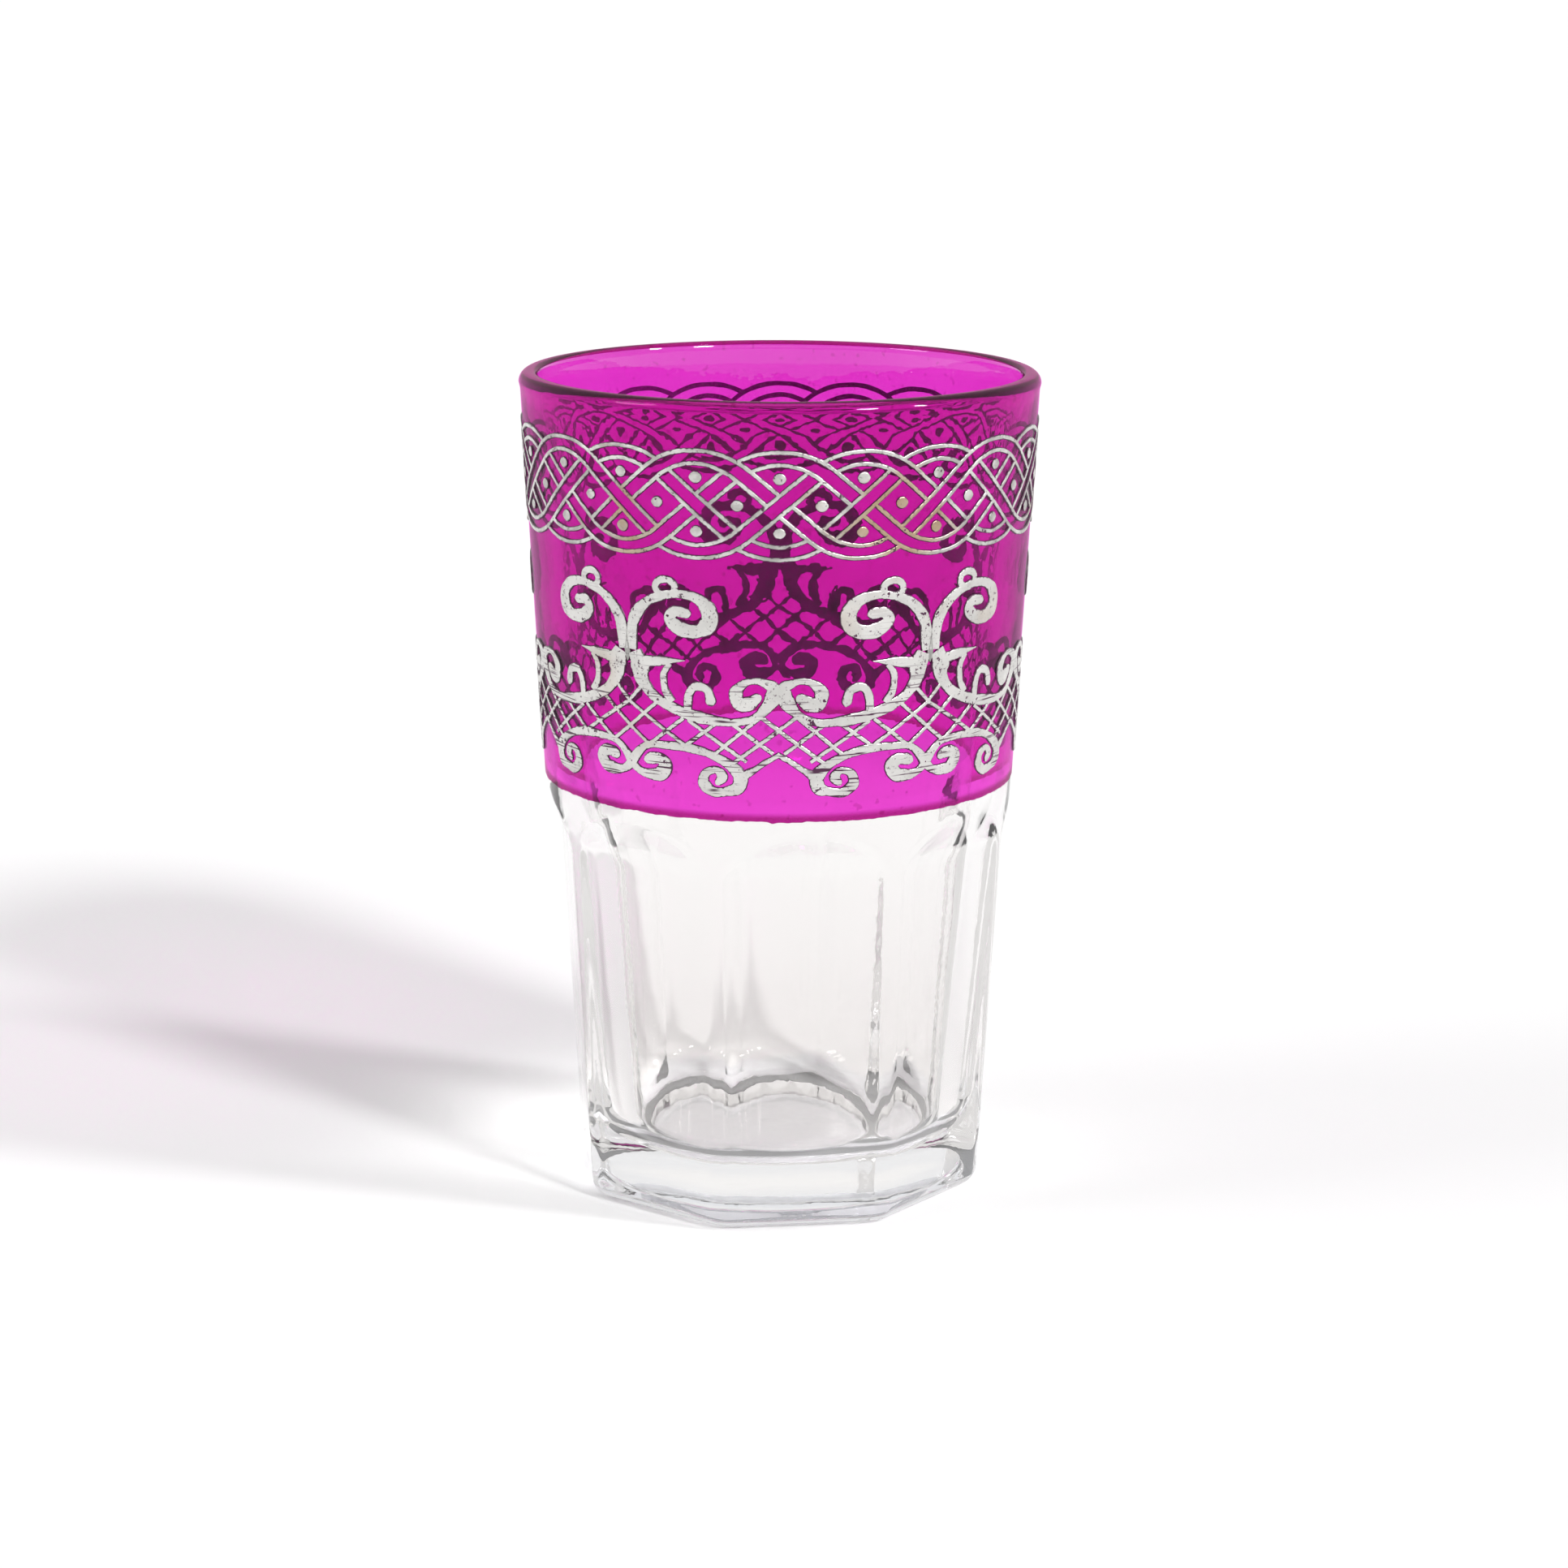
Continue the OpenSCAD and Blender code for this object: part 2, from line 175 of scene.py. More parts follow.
cup_rim_r = rim_r - rim_wall
cup_lean = math.atan2(cup_rim_r - cup_floor_r, glass_h - sole_t)
corner_x = cup_floor_r - cup_corner_r * math.tan((math.pi / 2 - cup_lean) / 2)
cup_edge_r = cup_rim_r - inner_edge_r * math.tan(cup_lean)
bead_centre = (rim_r - bead_r, glass_h - lip_under - bead_r)
inner_edge = (cup_edge_r + inner_edge_r, glass_h - lip_under - inner_edge_r)
cup_corner = (corner_x, sole_t + cup_corner_r)
foot_rows = [foot_round * (1 - math.cos(math.radians(a))) for a in (0, 15, 30, 45, 60, 75, 90)]
wall_rows = rows([(foot_round, 1.2), (6, 3), (46, 1), (arch_start_h, 0.3),
                  (arch_h + 0.9, 4), (104, 2), (neck_h, 1)])
ring_centre_r = hollow_r + ring_round
hollow_corner = (hollow_r - hollow_round, hollow_t - hollow_round)
glass_profile = [(0, hollow_t), (10, hollow_t), (hollow_corner[0], hollow_t)]
glass_profile += arc(hollow_corner, hollow_round, 90, 0, 4)
glass_profile += arc((ring_centre_r, ring_round), ring_round, 180, 270, 4)
glass_profile += [(22, 0), (24, 0)]
glass_profile += [(wall_r(z), z) for z in foot_rows + wall_rows[1:-1]]
glass_profile += [(neck_r, neck_h)]
glass_profile += arc(bead_centre, bead_r, 0, 90, 10)
glass_profile += arc(inner_edge, inner_edge_r, 90, 180, 6)
glass_profile += [(cup_floor_r + (cup_rim_r - cup_floor_r) * (z - sole_t) / (glass_h - sole_t), z)
                  for z in (108, 100, 90, 80, 70, 60, 50, 40, 30, 22, 16)]
glass_profile += arc(cup_corner, cup_corner_r, -math.degrees(cup_lean), -90, 14)
glass_profile += [(12, sole_t), (6, sole_t), (0, sole_t)]

tumbler = spun("pressed_glass", glass_profile, steps_round, closed=False)
for vertex in tumbler.data.vertices:
    x, y, z = vertex.co / MM
    out = math.hypot(x, y)
    if out < hair or z > arch_h + 1:
        continue
    angle = math.atan2(x, -y)
    if z < hair and out > ring_centre_r + ring_round:
        flat_edge = pressed_r(angle, 0)
        share = min((out - ring_centre_r) / (wall_r(0) - ring_centre_r), 1)
        pressed = ring_centre_r + (flat_edge - ring_centre_r) * share
    elif out > wall_r(z) - hair:
        pressed = pressed_r(angle, z)
    else:
        continue
    vertex.co.x *= pressed / out
    vertex.co.y *= pressed / out


class Value:
    """A socket of a finish, so that shader maths reads as an expression."""

    def __init__(self, finish, socket):
        self.finish = finish
        self.socket = socket

    def maths(self, operation, first, second):
        return self.finish.node("Math", {0: first, 1: second}, operation=operation)

    def __add__(self, other):
        return self.maths("ADD", self, other)

    def __mul__(self, other):
        return self.maths("MULTIPLY", self, other)

    def __sub__(self, other):
        return self.maths("SUBTRACT", self, other)

    def __rsub__(self, other):
        return self.maths("SUBTRACT", other, self)

    def over(self, limit):
        return self.maths("GREATER_THAN", self, limit)

    def most(self, other):
        return self.maths("MAXIMUM", self, other)

    __radd__ = __add__
    __rmul__ = __mul__


class Finish:
    """A material, or the light of a world, under construction."""

    def __init__(self, owner):
        self.owner = owner
        self.owner.use_nodes = True
        self.tree = self.owner.node_tree
        self.tree.nodes.clear()
        self.object_place = self.node("TexCoord", out="Object")

    def node(self, kind, values=None, out=0, **settings):
        node = self.tree.nodes.new("ShaderNode" + kind)
        for name, value in settings.items():
            setattr(node, name, value)
        for key, value in (values or {}).items():
            if isinstance(value, Value):
                self.tree.links.new(value.socket, node.inputs[key])
            else:
                node.inputs[key].default_value = value
        return Value(self, node.outputs[out])

    def noise(self, scale, detail=3.0, rough=0.5, place=None):
        return self.node("TexNoise", {"Vector": place or self.object_place, "Scale": scale,
                                      "Detail": detail, "Roughness": rough})

    def step(self, value, low, high):
        return self.node("MapRange", {"Value": value, "From Min": low, "From Max": high},
                         interpolation_type="SMOOTHSTEP")

    def blend(self, share, first, second):
        return self.node("Mix", {"Factor": share, 6: first, 7: second}, out=2, data_type="RGBA")

    def surface(self, shader, output="ShaderNodeOutputMaterial"):
        self.tree.links.new(shader.socket, self.tree.nodes.new(output).inputs["Surface"])
        return self.owner


# Clear glass with the faint waves and flow lines that pressing leaves. Its colour is greyer
# towards the foot of the wall, in the sole and round the foot: painted shade.
wall_shade_fade = (8 * MM, 50 * MM)
sole_shade_fade = (4.5 * MM, 6.8 * MM)
foot_shade_fade = (1.2 * MM, 2.8 * MM)
glass = Finish(bpy.data.materials.new("clear_pressed_glass"))
waves = glass.noise(90.0, 2.0)
ripples = glass.noise(420.0, 2.0)
pressing = glass.node("Bump", {"Height": waves + ripples * 0.25, "Strength": 0.12,
                               "Distance": 0.0006}, out="Normal")
glass_z = glass.node("SeparateXYZ", {0: glass.object_place}, out="Z")
# Painted shade: the glass's colour is greyer low in the wall, greyer still in the sole, darkest
# round the foot
wall_painted_shade = glass.blend(glass.step(glass_z, *wall_shade_fade), (0.915, 0.9, 0.89, 1),
                        (0.97, 0.962, 0.957, 1))
sole_painted_shade = glass.blend(glass.step(glass_z, *sole_shade_fade), (0.775, 0.785, 0.81, 1), wall_painted_shade)
foot_painted_shade = glass.blend(glass.step(glass_z, *foot_shade_fade), (0.62, 0.62, 0.645, 1), sole_painted_shade)
clear = glass.node("BsdfPrincipled", {
    "Base Color": foot_painted_shade, "Roughness": 0.0, "IOR": 1.5, "Transmission Weight": 1.0,
    "Normal": pressing})

# A path of light that turns too often inside the glass ends in painted light, a mottled pale grey
# glow, and light for the table goes straight through the walls, because a render stops such paths
# in black
most_turns = 3.5
coat_fade = (56 * MM, 58 * MM)
through_wall = 0.84
painted_inner_light = glass.node("Emission", {"Color": (0.85, 0.84, 0.83, 1), "Strength": 1.0})
many_turns = glass.node("LightPath", out="Glossy Depth").over(most_turns)
below_coat = 1 - glass.step(glass_z, *coat_fade)
painted_light_share = many_turns * below_coat * (glass.noise(170.0, 2.0) * 0.7 + 0.3)
filled = glass.node("MixShader", {0: painted_light_share, 1: clear, 2: painted_inner_light})
grazing = glass.node("LayerWeight", {"Blend": 0.5}, out="Facing")
shadow_ray = glass.node("LightPath", out="Is Shadow Ray")
lets_through = (1 - glass.step(grazing, 0.35, 0.85)) * shadow_ray * through_wall
straight = glass.node("BsdfTransparent", {"Color": (0.98, 0.98, 0.98, 1)})
glass_finish = glass.surface(glass.node("MixShader", {0: lets_through, 1: filled, 2: straight}))
glass_finish.cycles.emission_sampling = "NONE"
tumbler.data.materials.append(glass_finish)
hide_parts("glass_tumbler")
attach(tumbler, "root")


# The magenta coat
# A transparent colour sprayed and fired on the outside of the round wall, from just above the
# panels up over the bead and thinly over the lip. Its lower edge is a little ragged.

coat_t = 0.1
coat_gap = 0.012
coat_lip_t = 0.035
coat_edge_h = 0.7
coat_edge_up = 0.12
notch_x, notch_w, notch_h = -0.7, 0.5, 0.25
coat_rows = rows([(belt_h, 0.15), (belt_h + 0.6, 4), (104, 2), (neck_h, 1)])
coat_profile = [(wall_r(z) + coat_t, z) for z in coat_rows]
bead_steps = 10
for i, (x, z) in enumerate(arc((0, 0), 1, 0, 90, bead_steps)):
    coat_out_r = bead_r + coat_t + (coat_lip_t - coat_t) * i / bead_steps
    coat_profile.append((bead_centre[0] + coat_out_r * x, bead_centre[1] + coat_out_r * z))
coat_profile += arc(inner_edge, inner_edge_r + coat_lip_t, 90, 150, 6)
coat_profile += arc(inner_edge, inner_edge_r + coat_gap, 150, 90, 6)
coat_profile += arc(bead_centre, bead_r + coat_gap, 90, 0, bead_steps)
coat_profile += [(wall_r(z) + coat_gap, z) for z in reversed(coat_rows)]
coat = spun("fired_magenta_coat", coat_profile, 720, closed=True)
for vertex in coat.data.vertices:
    z = vertex.co.z / MM
    if z < belt_h + coat_edge_h:
        around = Vector((vertex.co.x, vertex.co.y, 0)) / MM
        ragged = 0.16 * noise.noise(around * 0.35) + 0.1 * noise.noise(around * 1.4)
        notch = notch_h * math.exp(-((around.x - notch_x) / notch_w) ** 2) if around.y < 0 else 0
        keep = max(1 - (z - belt_h) / coat_edge_h, 0)
        vertex.co.z += (coat_edge_up + ragged - notch) * keep * MM

# The colour is darker and thicker in a line at the lower edge, paler low down, and darker on the
# lip as painted shade
pool_fade = ((belt_h + 0.5) * MM, (belt_h + 1.5) * MM)
pale_fade = ((belt_h + 2) * MM, (belt_h + 14) * MM)
lip_shade_fade = ((glass_h - 0.9) * MM, (glass_h - 0.25) * MM)
colour = Finish(bpy.data.materials.new("fired_magenta"))
cloud = colour.noise(60.0, 3.0)
specks = colour.step(colour.noise(900.0, 1.0), 0.66, 0.74)
height = colour.node("SeparateXYZ", {0: colour.object_place}, out="Z")
edge_pool = 1 - colour.step(height, *pool_fade)
low_coat = 1 - colour.step(height, *pale_fade)
tint = colour.blend(cloud * 0.45 + low_coat * 0.55, (0.73, 0.024, 0.55, 1), (0.90, 0.07, 0.72, 1))
# Painted shade: a dark band on the lip, along the rim
lip_painted_shade = colour.step(height, *lip_shade_fade)
pooled_and_lip_shade = colour.blend(edge_pool * 0.9 + lip_painted_shade * 0.75 + specks * 0.3, tint,
                      (0.42, 0.003, 0.22, 1))
sprayed = colour.node("Bump", {"Height": cloud, "Strength": 0.05, "Distance": 0.0004}, out="Normal")
coat_finish = colour.surface(colour.node("BsdfPrincipled", {
    "Base Color": pooled_and_lip_shade, "Roughness": 0.0, "IOR": 1.0, "Transmission Weight": 1.0,
    "Coat Weight": 0.3, "Coat Roughness": 0.02, "Normal": sprayed}))
coat.data.materials.append(coat_finish)
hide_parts("magenta_coat")
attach(coat, "root")


# The silver relief
# A thick silver paste, printed on the coat and fired: flat lines about 0.2 mm high with soft
# edges. It has dulled a little, and fine scratches and small bare specks show the coat below.

relief_t = 0.2
soft_edge = 0.26
edge_shape = ((0, 0.0), (0.15, 0.5), (0.5, 0.88), (1, 1.0))
section_points = 2 * len(edge_shape)


def lay_lines(name, lines):
    """Lays lines of (angle, height, width) points on the coat, as strips with soft edges."""
    points, faces, under = [], [], []
    for line in lines:
        ways = []
        for i, (angle, z, width) in enumerate(line):
            before, after = line[max(i - 1, 0)], line[min(i + 1, len(line) - 1)]
            radius = wall_r(z) + coat_t
            along = math.radians(after[0] - before[0]) * radius
            up = after[1] - before[1]
            length = math.hypot(along, up) or 1
            ways.append((-up / length, along / length, radius))
        first = len(points)
        for (angle, z, width), (side_x, side_z, radius) in zip(line, ways):
            edge = min(soft_edge, width / 3)
            rise = [(width / 2 - edge * inward, lift) for inward, lift in edge_shape]
            for offset, lift in [(-half, lift) for half, lift in rise] + rise[::-1]:
                turn = math.radians(angle) + offset * side_x / radius
                level = z + offset * side_z
                out = wall_r(level) + coat_t + relief_t * lift
                points.append((out * math.sin(turn) * MM, -out * math.cos(turn) * MM, level * MM))
        for i in range(len(line) - 1):
            a, b = first + i * section_points, first + (i + 1) * section_points
            for k in range(section_points):
                m = (k + 1) % section_points
                faces.append((a + k, b + k, b + m, a + m))
                under.append(k == section_points - 1)
        last = first + (len(line) - 1) * section_points
        faces.append(tuple(range(first, first + section_points)))
        faces.append(tuple(range(last + section_points - 1, last - 1, -1)))
        under += [False, False]
    mesh = bpy.data.meshes.new(name)
    mesh.from_pydata(points, [], faces)
    mesh.polygons.foreach_set("material_index", [int(below) for below in under])
    piece = bpy.data.objects.new(name, mesh)
    bpy.context.scene.collection.objects.link(piece)
    bpy.ops.object.select_all(action="DESELECT")
    piece.select_set(True)
    bpy.context.view_layer.objects.active = piece
    bpy.ops.object.mode_set(mode="EDIT")
    bpy.ops.mesh.select_all(action="SELECT")
    bpy.ops.mesh.normals_make_consistent(inside=False)
    bpy.ops.object.mode_set(mode="OBJECT")
    bpy.ops.object.shade_smooth_by_angle(angle=math.radians(50))
    return piece


braid_z = 99.3
braid_rise = 6.1
turn_w, run_w, line_w = 1.6, 2.05, 0.68
waves_round = 5
columns = 4 * waves_round
column_a = 360 / columns
braid_r = wall_r(braid_z) + coat_t
quarter = braid_r * math.radians(column_a)
run_a = math.radians(40)
turn_r = ((quarter * math.tan(run_a) - braid_rise)
          / (math.tan(run_a) * math.sin(run_a) - 1 + math.cos(run_a)))


def lean_at(s):
    return math.asin(s / turn_r) if abs(s) < turn_r * math.sin(run_a) else math.copysign(run_a, s)


def rise_at(s):
    if abs(s) < turn_r * math.sin(run_a):
        return braid_rise - turn_r * (1 - math.cos(lean_at(s)))
    return math.tan(run_a) * (quarter - abs(s))


def half_w(s):
    return (turn_w + (run_w - turn_w) * abs(lean_at(s)) / run_a) / 2


def stop_at(s, side):
    lean = abs(lean_at(s))
    return half_w(s) * (1 - side * math.cos(2 * lean)) / math.sin(2 * lean) * math.cos(lean)


def strand(s0, s1, open0, open1, steps, up, shift):
    """The two border lines of a strand from s0 to s1 along its wave."""
    lines = []
    for side in (-1, 1):
        a = s0 + (0 if open0 else stop_at(s0, side if s0 < 0 else -side))
        b = s1 - (0 if open1 else stop_at(s1, -side if s1 < 0 else side))
        line = []
        for i in range(steps + 1):
            s = a + (b - a) * i / steps
            x = s + side * half_w(s) * math.sin(lean_at(s))
            y = rise_at(s) + side * half_w(s) * math.cos(lean_at(s))
            line.append((math.degrees((shift + x) / braid_r), braid_z + up * y, line_w))
        lines.append(line)
    return lines


over_above = [1, 1, 0, 1, 0, 1, 0, 1, 0, 1]
over_middle = [0, 0, 0, 1, 0, 1, 0, 0, 1, 1]
over_below = [1, 1, 0, 1, 0, 1, 0, 1, 0, 0]


def falling_over(row, j):
    return row[j % len(row)] == 1


braid_lines = []
for j in range(columns):
    shift, half = j * quarter, quarter / 2
    above = falling_over(over_above, j)
    above_before = falling_over(over_above, j - 1)
    middle = falling_over(over_middle, j)
    below = falling_over(over_below, j)
    below_before = falling_over(over_below, j - 1)
    braid_lines += strand(-half, half, not above_before, above, 16, 1, shift)
    braid_lines += strand(-half, half, below_before, not below, 16, -1, shift)
    braid_lines += strand(half, quarter, above_before, middle, 5, 1, shift - quarter)
    braid_lines += strand(-quarter, -half, middle, below, 5, -1, shift + quarter)
    braid_lines += strand(half, quarter, not below_before, not middle, 5, -1, shift - quarter)
    braid_lines += strand(-quarter, -half, not middle, not above, 5, 1, shift + quarter)


wear_r = 34


def worn(line, seed):
    """The same line with the slightly uneven edges of fired paste."""
    uneven = []
    for angle, z, width in line:
        turn = math.radians(angle)
        place = Vector((math.sin(turn) * wear_r, math.cos(turn) * wear_r, z)) * 0.9
        swell = 1 + 0.12 * noise.noise(place + Vector((seed, 0, 0)))
        drift = 0.05 * noise.noise(place * 1.3 + Vector((0, seed, 0)))
        uneven.append((angle, z + drift, width * swell))
    return uneven


silver_braid = lay_lines("braid_lines", [worn(line, 3.0) for line in braid_lines])

# Dull silver, bare in fine level scratches low in the frieze and in small pits, and greyer in the
# braid. Painted shade makes a dark line along its edges, and a painted warm brown reflection lies
# at the braid's right, among brownish patches
scratch_fade = (71 * MM, 82 * MM)
braid_fade = (89.5 * MM, 92.5 * MM)
reflection_place, reflection_fade = (16.5 * MM, -30 * MM, 99 * MM), (2 * MM, 13 * MM)
silver = Finish(bpy.data.materials.new("fired_silver"))
out_x, out_y, out_z = (silver.node("SeparateXYZ", {0: silver.object_place}, out=axis)
                       for axis in "XYZ")
across = silver.node("CombineXYZ", {0: out_x, 1: out_y})
from_axis = silver.node("VectorMath", {0: across}, out="Value", operation="LENGTH")
wall_slope = (neck_r - belt_r) / (neck_h - belt_h)
coat_face = out_z * wall_slope + (belt_r + coat_t - wall_slope * belt_h) * MM
lift = (from_axis - coat_face) * (1 / (relief_t * MM))
ragged = silver.noise(2300.0, 3.0, 0.65)
dull = silver.noise(160.0, 4.0)
grain = silver.noise(2600.0, 2.0)
# Painted shade: a dark, not metallic line along the edges of the relief
painted_edge_shade = 1 - silver.step(lift + ragged * 0.8, 1.2, 1.31)
stretched = silver.node("Mapping", {"Vector": silver.object_place, "Rotation": (0.0, 0.06, 0.0),
                                    "Scale": (110.0, 110.0, 3400.0)})
streaks = silver.step(silver.noise(1.0, 2.0, 0.5, stretched), 0.585, 0.61)
low_band = 1 - silver.step(out_z, *scratch_fade)
scratches = streaks * (low_band * 0.85 + 0.15) * silver.step(silver.noise(190.0, 2.0), 0.43, 0.55)
pit_fields = silver.step(silver.noise(230.0, 1.0), 0.5, 0.6)
pits = silver.step(silver.noise(1150.0, 2.0, 0.6), 0.63, 0.65) * pit_fields
worn_and_edge_shade = painted_edge_shade.most(scratches).most(pits)
# Painted reflection: a warm brown patch at the braid's right, over brownish patches at random
from_reflection = silver.node("VectorMath", {0: silver.object_place, 1: reflection_place}, out="Value",
                         operation="DISTANCE")
painted_reflection = 1 - silver.step(from_reflection, *reflection_fade)
warm_and_reflection = silver.step(silver.noise(75.0, 2.0) + painted_reflection * 0.35, 0.56, 0.7)
high_band = silver.step(out_z, *braid_fade)
tarnish = silver.step(silver.noise(260.0, 3.0, 0.6), 0.35, 0.65) * (high_band * 0.7 + 0.3)
face_tint = silver.blend(dull, (0.60, 0.59, 0.57, 1), (0.88, 0.87, 0.845, 1))
tarnished = silver.blend(tarnish * 0.75, face_tint, (0.33, 0.32, 0.30, 1))
warmed = silver.blend(warm_and_reflection * (high_band * 0.45 + 0.25), tarnished, (0.42, 0.26, 0.12, 1))
marked = silver.blend(worn_and_edge_shade, warmed, (0.05, 0.004, 0.035, 1))
fired = silver.node("Bump", {"Height": grain * 0.7 + dull * 1.5 + ragged * 0.5, "Strength": 0.3,
                             "Distance": 0.0001}, out="Normal")
silver_finish = silver.surface(silver.node("BsdfPrincipled", {
    "Base Color": marked, "Metallic": 1 - worn_and_edge_shade, "Roughness": 0.24 + dull * 0.22, "IOR": 1.5,
    "Normal": fired}))
# Painted shade: the underside of the print, seen from inside through the glass, is painted near
# black
underside = Finish(bpy.data.materials.new("underside_of_the_print"))
painted_underside_shade = underside.blend(underside.noise(300.0), (0.05, 0.01, 0.04, 1), (0.09, 0.03, 0.08, 1))
underside_finish = underside.surface(underside.node("BsdfPrincipled", {
    "Base Color": painted_underside_shade, "Roughness": 0.6}))
silver_braid.data.materials.append(silver_finish)
silver_braid.data.materials.append(underside_finish)
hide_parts("silver_braid")
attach(silver_braid, "root")

# The dots: drops of the same paste between the strands
dot_d, least_w = 1.7, 0.02
dot_rise = 3.5
dot_lines = []
for j in range(columns):
    for row in (-1, 0, 1):
        angle = (j + (1 - abs(row)) / 2) * column_a
        place = Vector((angle * 0.37, row * 1.9, 0.5))
        reach = dot_d / 2 * (0.96 + 0.1 * noise.noise(place))
        dot_line = []
        for a in range(180, -1, -15):
            aside, width = reach * math.cos(math.radians(a)), 2 * reach * math.sin(math.radians(a))
            dot_line.append((angle + math.degrees(aside / braid_r), braid_z + row * dot_rise,
                             max(width, least_w)))
        dot_lines.append(dot_line)
silver_dots = lay_lines("braid_dots", dot_lines)
silver_dots.data.materials.append(silver_finish)
silver_dots.data.materials.append(underside_finish)
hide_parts("silver_braid_dots")
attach(silver_dots, "root")

# The scroll frieze: volutes, leaves and rings over a lattice, five repeats round the glass
frieze_z, frieze_h = 60.6, 28.9
scroll_w, lattice_w = 3.0, 0.66
repeats = 5
crest_scroll_shares = [
    (0.03, 0.655, 0.58), (0.045, 0.77, 0.62), (0.085, 0.83, 0.6), (0.17, 0.888, 0.5),
    (0.29, 0.922, 0.43), (0.4, 0.93, 0.44), (0.5, 0.912, 0.54), (0.568, 0.862, 0.74),
    (0.565, 0.8, 0.8), (0.49, 0.765, 0.67), (0.39, 0.77, 0.67), (0.315, 0.81, 0.64),
    (0.345, 0.848, 0.53), (0.42, 0.845, 0.5)]
valley_scroll_shares = [
    (0.052, 0.647, 0.73), (0.088, 0.588, 1), (0.094, 0.54, 0.78), (0.127, 0.495, 0.6),
    (0.19, 0.45, 0.53), (0.273, 0.419, 0.53), (0.37, 0.393, 0.53), (0.467, 0.375, 0.57),
    (0.577, 0.363, 0.53), (0.688, 0.356, 0.4), (0.785, 0.363, 0.37), (0.867, 0.388, 0.4),
    (0.928, 0.433, 0.6), (0.97, 0.484, 0.8), (0.961, 0.52, 0.63), (0.928, 0.536, 0.47),
    (0.862, 0.55, 0.32), (0.79, 0.538, 0.38), (0.735, 0.495, 0.63), (0.751, 0.443, 0.63),
    (0.807, 0.443, 0.7), (0.859, 0.467, 0.53)]
leaf_shares = [
    (0.094, 0.602, 0.53), (0.19, 0.612, 0.5), (0.273, 0.619, 0.42), (0.343, 0.623, 0.23),
    (0.409, 0.628, 0.04)]
cup_shares = [
    (0.309, 0.609, 0.27), (0.265, 0.567, 0.37), (0.26, 0.522, 0.38), (0.273, 0.478, 0.4),
    (0.315, 0.433, 0.43)]
hook_shares = [
    (0.42, 0.405, 0.43), (0.427, 0.464, 0.42), (0.456, 0.505, 0.4), (0.503, 0.514, 0.42),
    (0.552, 0.498, 0.43), (0.572, 0.453, 0.52)]
low_scroll_shares = [
    (0.003, 0.138, 0.6), (0.077, 0.197, 0.4), (0.141, 0.223, 0.38), (0.232, 0.228, 0.37),
    (0.37, 0.228, 0.43), (0.494, 0.218, 0.43), (0.605, 0.192, 0.4), (0.702, 0.152, 0.53),
    (0.757, 0.104, 0.7), (0.74, 0.055, 0.63), (0.666, 0.036, 0.45), (0.583, 0.031, 0.5),
    (0.517, 0.069, 0.57), (0.536, 0.118, 0.43), (0.602, 0.133, 0.37), (0.641, 0.104, 0.5),
    (0.619, 0.081, 0.4)]
low_crest_scroll_shares = [
    (0, 0.131, 0.53), (0.058, 0.097, 0.4), (0.135, 0.085, 0.53), (0.218, 0.093, 0.67),
    (0.257, 0.135, 0.7), (0.215, 0.163, 0.57), (0.155, 0.161, 0.57), (0.133, 0.156, 0.5)]
low_valley_shares = [
    (1.01, 0.213, 0.27), (0.923, 0.178, 0.27), (0.854, 0.144, 0.3), (0.785, 0.114, 0.47)]
lattice_shares = [
    (-0.01, 0.41, 0.105, 0.495), (-0.01, 0.42, 0.425, 0.225), (-0.01, 0.295, 0.227, 0.436),
    (-0.01, 0.305, 0.135, 0.228), (0.135, 0.221, 0.39, 0.363), (0.42, 0.356, 0.798, 0.176),
    (0.39, 0.232, 0.602, 0.346), (0.577, 0.197, 0.881, 0.381), (0.688, 0.36, 0.964, 0.215),
    (0.715, 0.17, 1.01, 0.328), (0.887, 0.384, 1.01, 0.32)]
stem_shares = [(0.74, 0.1), (0.7, 0.7), (0.66, 1.1), (0.625, 0.9), (0.6, 0.1)]
ring_shares = (0.287, 0.955)
ring_w, ring_h, ring_line = 2.8, 2.1, 1.15
half_repeat_a = 180 / repeats


def through(points, steps):
    """A smooth curve through given points."""
    curve = []
    last = len(points) - 1
    for i in range(last):
        a, b, c, d = (points[max(i - 1, 0)], points[i], points[i + 1], points[min(i + 2, last)])
        for k in range(steps):
            t = k / steps
            curve.append(tuple(
                (2 * q + (r - p) * t + (2 * p - 5 * q + 4 * r - s) * t ** 2
                 + (3 * q - p - 3 * r + s) * t ** 3) / 2
                for p, q, r, s in zip(a, b, c, d)))
    return curve + [points[last]]


def rounded_tip(line):
    """The line with its last width run out in a half circle."""
    (a0, z0, _), (a1, z1, w1) = line[-2], line[-1]
    radius = wall_r(z1) + coat_t
    dx, dz = math.radians(a1 - a0) * radius, z1 - z0
    length = math.hypot(dx, dz) or 1
    dx, dz = dx / length, dz / length
    tip = []
    for degrees in (20, 40, 60, 75, 86):
        reach = w1 / 2 * math.sin(math.radians(degrees))
        tip.append((a1 + math.degrees(reach * dx / radius), z1 + reach * dz,
                    w1 * math.cos(math.radians(degrees))))
    return line + tip


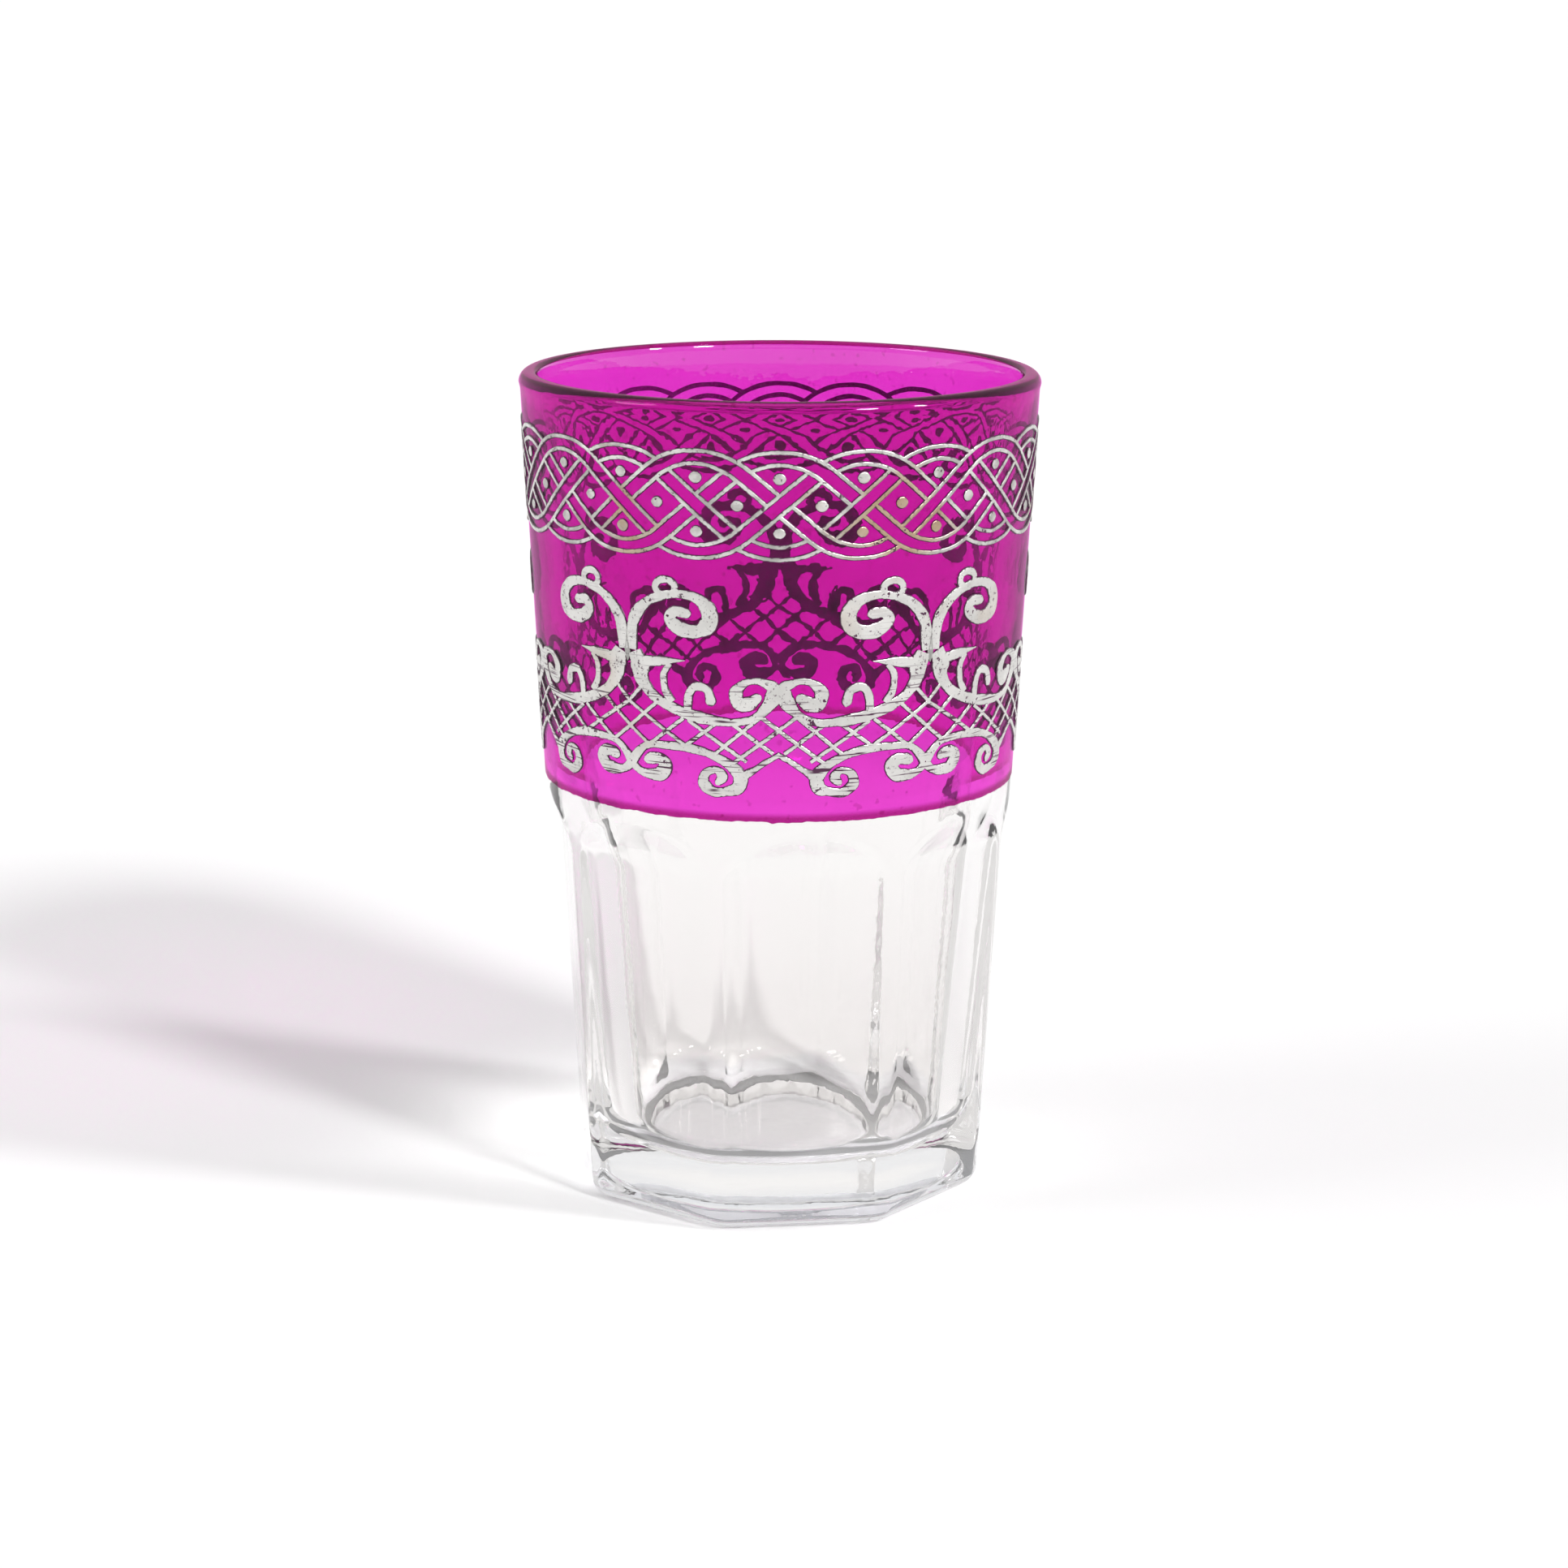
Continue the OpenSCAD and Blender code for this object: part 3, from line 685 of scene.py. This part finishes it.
tipped_shares = (crest_scroll_shares, valley_scroll_shares, hook_shares, low_scroll_shares,
                 low_crest_scroll_shares)
plain_shares = (leaf_shares, cup_shares, low_valley_shares)
frieze_lines = []
for k in range(repeats):
    crest = (k + 0.5) * 360 / repeats
    for side in (-1, 1):
        for shares in tipped_shares + plain_shares:
            line = [(crest + side * u * half_repeat_a, frieze_z + v * frieze_h,
                     max(w, 0.03) * scroll_w) for u, v, w in through(shares, 8)]
            frieze_lines.append(rounded_tip(line) if shares in tipped_shares else line)
        frieze_lines.append([(crest, frieze_z + v * frieze_h, 1.1 * w) for v, w in stem_shares])
        for u0, v0, u1, v1 in lattice_shares:
            frieze_lines.append([(crest + side * (u0 + (u1 - u0) * t / 12) * half_repeat_a,
                                  frieze_z + (v0 + (v1 - v0) * t / 12) * frieze_h, lattice_w)
                                 for t in range(13)])
        ring_a = crest + side * ring_shares[0] * half_repeat_a
        ring_z = frieze_z + ring_shares[1] * frieze_h
        ring_r = wall_r(ring_z) + coat_t
        ring_reach_a = math.degrees(ring_w / 2 / ring_r)
        frieze_lines.append([(ring_a + ring_reach_a * math.cos(math.radians(a)),
                              ring_z + ring_h / 2 * math.sin(math.radians(a)), ring_line)
                             for a in range(0, 361, 15)])
silver_frieze = lay_lines("scroll_frieze", [worn(line, 7.0) for line in frieze_lines])
silver_frieze.data.materials.append(silver_finish)
silver_frieze.data.materials.append(underside_finish)
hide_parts("silver_scroll_frieze")
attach(silver_frieze, "root")


# The floor, the light and the camera
# A plain white table in a bright white room with soft windows in front, at the right and at the
# left. The room is darker behind the camera, so that the clear glass shows its edges.

bpy.ops.object.select_all(action="DESELECT")
bpy.ops.mesh.primitive_plane_add(size=16, location=(0, 0, 0))
floor = bpy.context.object
floor.name = "white_table"
table = Finish(bpy.data.materials.new("white_table"))
floor.data.materials.append(table.surface(table.node("BsdfDiffuse", {"Color": (0.9, 0.9, 0.9, 1)})))

white = (1, 1, 1, 1)
light_of_room, behind_camera = 0.55, 0.7
room = Finish(bpy.data.worlds.new("white_room"))
towards = room.node("SeparateXYZ", {0: room.node("TexCoord", out="Generated")}, out="Y")
darker_behind = room.node("MapRange", {"Value": towards, "From Min": -0.9, "From Max": 0.1,
                                       "To Min": behind_camera, "To Max": 1.0},
                          interpolation_type="SMOOTHSTEP")
room_lit = room.node("Background", {"Color": white, "Strength": light_of_room})
room_seen = room.node("Background", {"Color": white, "Strength": darker_behind})
camera_ray, glossy_ray, clear_ray = (room.node("LightPath", out=f"Is {kind} Ray")
                                     for kind in ("Camera", "Glossy", "Transmission"))
seen = camera_ray.most(glossy_ray).most(clear_ray)
bpy.context.scene.world = room.surface(room.node("MixShader", {0: seen, 1: room_lit, 2: room_seen}),
                                       "ShaderNodeOutputWorld")


def soft_sun(name, azimuth, height, softness, strength):
    """A distant window: azimuth from the front towards the right, height above the table."""
    bpy.ops.object.light_add(type="SUN", location=(0, 0, 0.4))
    lamp = bpy.context.object
    lamp.name = name
    lamp.data.angle = math.radians(softness)
    lamp.data.energy = strength
    lamp.rotation_euler = (math.radians(90 - height), 0, math.radians(azimuth))


soft_sun("front_window", 42, 33, 9, 1.7)
soft_sun("side_window", 70, 33, 7, 1.2)
soft_sun("left_window", -75, 35, 20, 0.5)

camera_y, camera_z = -0.51382, 0.17590
looks_down, rolls, turns = 13.217, -0.227, -0.031
bpy.ops.object.camera_add(location=(0, camera_y, camera_z))
camera = bpy.context.object
camera.data.sensor_width = 36
camera.data.lens = 87.96
camera.rotation_euler = (math.radians(90 - looks_down), math.radians(rolls), math.radians(turns))
camera.data.clip_start = 0.01
bpy.context.scene.camera = camera

bpy.context.scene.view_settings.view_transform = "Standard"
